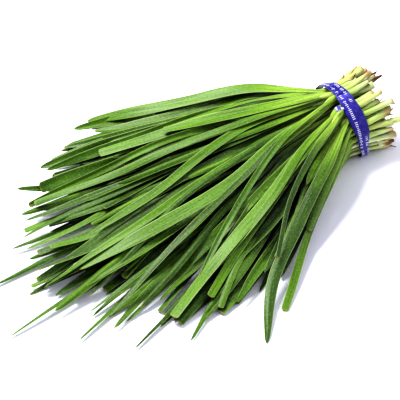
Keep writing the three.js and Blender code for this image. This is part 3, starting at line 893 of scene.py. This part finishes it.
TIE_INNER_RADIUS = 26.6
TIE_OUTER_RADIUS = 27.5
FOLD_HEIGHT = 1.2  # how soft the band's turn on to its flat underside is
LOW_SHIFT = 4.0  # how far the band has slipped towards the cut ends where it meets the floor
BAND_RINGS, BAND_COLUMNS = 420, 15
HALF_BAND = 4.4  # half the band's usual width
LAP_MIDDLE = math.radians(82)  # where the film's two ends lap, round from the far side over the top
LAP_ANGLE = math.radians(34)
LAP_FADE = 0.42  # in radians: how soon the lap's crumpling fades out
GATHERED = math.radians(145), math.radians(430)  # from one to the other the band is gathered narrower
BARE = math.radians(112), math.radians(172)  # and from one to the other its second row has no dashes
DASH_ROW = 2.2  # how far each row of dashes stands from the band's middle
TAIL_RINGS, TAIL_COLUMNS = 26, 7
TAIL_TURN = math.radians(120)  # where the free end leaves the band
TAIL_START = -5.0, 1.0  # across the band and off its inner side, in mm
TAIL_CURL = 5.6  # in radians: how far it curls up, from this share of its length on
TAIL_STRAIGHT = 0.38
HALF_TAIL_THICKNESS = 0.28  # the film is folded double here


def film_point(turn, across, lift):
    """Points on the film: on a circle round the neck, squeezed flat where it rests, leaning to the blades
    above the neck's axis and slipped towards the cut ends near the floor."""
    radius = TIE_INNER_RADIUS + lift
    y = radius * np.cos(turn)
    z = TIE_AXIS_HEIGHT + radius * np.sin(turn)
    floor = np.maximum(lift, 0.0)
    z = np.where(z < FOLD_HEIGHT + floor, floor + FOLD_HEIGHT * np.exp((z - floor) / FOLD_HEIGHT - 1), z)
    x = across - math.tan(TIE_LEAN) * (z - TIE_AXIS_HEIGHT) + LOW_SHIFT * ease(1 - z / TIE_AXIS_HEIGHT)
    return np.stack(np.broadcast_arrays(x, y, z), axis=-1)


def film_creases(turn, across):
    """Height of the film's creases: three families of slanting ridges, each the sixth power of a cosine."""
    height = 0.0
    for slant, pitch, shift in ((0.9, 0.31, 0.4), (-0.6, 0.47, 1.9), (0.25, 0.19, 0.9)):
        wave = np.cos((turn * TIE_OUTER_RADIUS + slant * across) * math.pi * pitch / 2 + shift)
        height = height + np.abs(wave) ** 6 / 3
    return height


class CHIVES_OT_film_tie(bpy.types.Operator):
    """Adds the film band, lapped and creased, and its small free end, in place of the tie's CAD node"""

    bl_idname = "chives.film_tie"
    bl_label = "Film tie"

    def execute(self, context):
        tie = context.scene.chive_tie
        shell = Shell()
        self.add_band(shell, tie)
        self.add_tail(shell, tie)
        piece = shell.piece("film_tie_band", [film_material(tie)])
        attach(piece, "root")
        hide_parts(TIE_NODE)
        return {"FINISHED"}

    def add_band(self, shell, tie):
        """The band: a flat closed section carried once round the neck and a little further, climbing on
        itself where its ends lap. It is broadest beside the lap, and narrower on its far side and
        underneath. Creases and the stems beneath lift its outer face."""
        turn = np.linspace(LAP_MIDDLE - LAP_ANGLE / 2, LAP_MIDDLE + 2 * math.pi + LAP_ANGLE / 2, BAND_RINGS)
        share_round = (turn - turn[0]) / (turn[-1] - turn[0])
        section, outer = flat_section(BAND_COLUMNS)
        half = HALF_BAND + 1.5 * np.exp(-(((turn - LAP_MIDDLE - 1.0) / 0.7) ** 2))
        half = half + 0.2 * np.sin(3 * turn + 1)
        half = half - 1.2 * ease((turn - GATHERED[0]) / 0.8) * ease((GATHERED[1] - turn) / 0.4)
        wander = tie.edge_wander * (np.sin(5 * turn) / 2 + np.sin(11 * turn + 2) / 4)
        across = half[:, None] * section + wander[:, None]
        stems = 0.12 * (np.sin(38 * turn) + np.sin(23 * turn + 1))[:, None]
        climb = 0.5 * ease((share_round - 0.86) / 0.1)[:, None]
        rounded = 1 - np.abs(section) ** 6
        lapped = np.exp(-(((turn - LAP_MIDDLE) / LAP_FADE) ** 2))[:, None]
        crease = film_creases(turn[:, None], across) * (1 + 1.2 * lapped)
        lift = 0.12 + stems * 0.5 + climb + outer * (tie.film_thickness * (0.4 + 0.6 * rounded))
        lift = lift + tie.crease_depth * crease * 0.7
        # Paler film over the lap and the crease ridges: partly stress-whitened, partly a painted highlight.
        stretched = np.clip(0.75 * lapped + (0.25 + 0.4 * lapped) * crease, 0, 1)
        bare = ease((turn - BARE[0]) / 0.1) * ease((BARE[1] - turn) / 0.1)
        values = {
            "place": (across, (turn * TIE_OUTER_RADIUS)[:, None], 0.0),
            "growth": (stretched, outer, (1 - bare)[:, None]),
        }
        shell.tube(film_point(turn[:, None], across, lift), values)

    def add_tail(self, shell, tie):
        """The free end: a narrow strip that leaves the band's edge towards the blades and curls up, its
        heading turning evenly after its straight part."""
        share_along = np.linspace(0, 1, TAIL_RINGS)
        curl = TAIL_CURL * np.clip((share_along - TAIL_STRAIGHT) / (1 - TAIL_STRAIGHT), 0, 1)
        start = film_point(np.array(TAIL_TURN), *np.array(TAIL_START))
        radial = unit(np.array([0.0, math.cos(TAIL_TURN), math.sin(TAIL_TURN)]))
        back = unit(np.array([-1.0, 0.0, 0.0]) + 0.2 * radial)
        ahead = np.cos(curl)[:, None] * back + np.sin(curl)[:, None] * radial
        middle = start + np.cumsum(ahead, axis=0) * tie.tail_length / (TAIL_RINGS - 1)
        side = unit(np.cross(radial, back))
        up = np.cross(unit(ahead), side)
        section, outer = flat_section(TAIL_COLUMNS)
        across = mix(0.7, 1.3, ease(share_along / 0.6))[:, None] * section
        values = {
            "place": (-DASH_ROW, (share_along * 3)[:, None], 9.0),
            # The free end grows paler towards its curl: a painted highlight.
            "growth": (mix(0.3, 1.0, share_along)[:, None], 1.0, 0.0),
        }
        rings = carried(middle, side, up, across, HALF_TAIL_THICKNESS * (2 * outer - 1))
        shell.tube(rings, values, flip=True)


# ---- stage ----

LOOK_AT = (-117.1, -17.4, 15.0)  # what the camera looks at, mm from the neck's foot
KEY_LAMP = 0.28, (-280.0, 320.0, 720.0)  # its size in metres, and its place in mm from the neck's foot
FILL_LAMP = 0.9, (420.0, -330.0, 420.0)
FLOOR_REACH = 4.0  # metres from the middle of the floor to its sides


def placed(name, data, location, aim):
    """An object on the stage whose -Z points at aim. Both places are mm from the neck's foot."""
    thing = bpy.data.objects.new(name, data)
    bpy.context.scene.collection.objects.link(thing)
    place = (np.asarray(location) + NECK) * MM
    towards = (np.asarray(aim) + NECK) * MM - place
    thing.location = place
    thing.rotation_euler = Vector(towards).to_track_quat("-Z", "Y").to_euler()
    return thing


class CHIVES_OT_stage(bpy.types.Operator):
    """Adds the pale floor, the studio light and the camera"""

    bl_idname = "chives.stage"
    bl_label = "Stage"

    def execute(self, context):
        stage = context.scene.chive_stage
        self.add_floor(stage)
        self.add_lamp("key_lamp", stage.key_power, *KEY_LAMP)
        self.add_lamp("fill_lamp", stage.fill_power, *FILL_LAMP)
        self.add_sky(stage)
        context.scene.camera = self.add_camera(stage)
        context.scene.view_settings.view_transform = "Standard"
        context.scene.view_settings.look = "High Contrast"
        return {"FINISHED"}

    def add_floor(self, stage):
        """A plain square under everything, of matt paper: it takes a soft shadow and no gloss."""
        paper = Finish("matt studio paper", 0.85)
        paper.shader["Base Color"].default_value = rgba(stage.floor)
        mesh = bpy.data.meshes.new("studio_floor")
        corners = [(x * FLOOR_REACH, y * FLOOR_REACH, 0.0) for x, y in ((-1, -1), (1, -1), (1, 1), (-1, 1))]
        mesh.from_pydata(corners, [], [(0, 1, 2, 3)])
        mesh.materials.append(paper.material)
        floor = bpy.data.objects.new("studio_floor", mesh)
        bpy.context.scene.collection.objects.link(floor)

    def add_lamp(self, name, power, size, location):
        """A square soft lamp aimed at the middle of the bunch."""
        lamp = bpy.data.lights.new(name, "AREA")
        lamp.energy = power
        lamp.size = size
        placed(name, lamp, location, LOOK_AT)

    def add_sky(self, stage):
        """Even light of one colour from all round."""
        world = bpy.data.worlds.new("studio_light")
        world.use_nodes = True
        background = world.node_tree.nodes["Background"]
        background.inputs["Color"].default_value = rgba(stage.sky)
        background.inputs["Strength"].default_value = stage.sky_strength
        bpy.context.scene.world = world

    def add_camera(self, stage):
        """A camera on a sphere round the point it looks at."""
        azimuth, elevation = stage.camera_azimuth, stage.camera_elevation
        level = math.cos(elevation)
        back = np.array([math.sin(azimuth) * level, -math.cos(azimuth) * level, math.sin(elevation)])
        camera = bpy.data.cameras.new("camera")
        camera.lens = camera.sensor_width / 2 * stage.camera_distance / stage.half_view
        camera.clip_start = 0.01
        return placed("camera", camera, np.array(LOOK_AT) + back * stage.camera_distance, LOOK_AT)


# ---- panel and registration ----


class CHIVES_PT_bunch(bpy.types.Panel):
    """Lists the bunch's settings and pieces"""

    bl_idname = "CHIVES_PT_bunch"
    bl_label = "Tied chive bunch"
    bl_space_type = "VIEW_3D"
    bl_region_type = "UI"
    bl_category = "Chives"

    def draw(self, context):
        for operator in OPERATORS:
            self.layout.operator(operator.bl_idname)
        for group in SETTINGS:
            box = self.layout.box()
            for name in SETTINGS[group].__annotations__:
                box.prop(getattr(context.scene, group), name)


SETTINGS = {
    "chive_leaf": ChiveLeafSettings,
    "chive_sheath": ChiveSheathSettings,
    "chive_tie": ChiveTieSettings,
    "chive_stage": ChiveStageSettings,
}
OPERATORS = (CHIVES_OT_shoot_pairs, CHIVES_OT_dried_skins, CHIVES_OT_film_tie, CHIVES_OT_stage)
CLASSES = (*SETTINGS.values(), *OPERATORS, CHIVES_PT_bunch)


def register():
    for each in CLASSES:
        bpy.utils.register_class(each)
    for group, kind in SETTINGS.items():
        setattr(bpy.types.Scene, group, bpy.props.PointerProperty(type=kind))


def unregister():
    for group in SETTINGS:
        delattr(bpy.types.Scene, group)
    for each in reversed(CLASSES):
        bpy.utils.unregister_class(each)


def main():
    """Builds the whole bunch and its stage."""
    register()
    bpy.ops.chives.shoot_pairs()
    bpy.ops.chives.dried_skins()
    bpy.ops.chives.film_tie()
    bpy.ops.chives.stage()


if __name__ == "__main__":
    main()
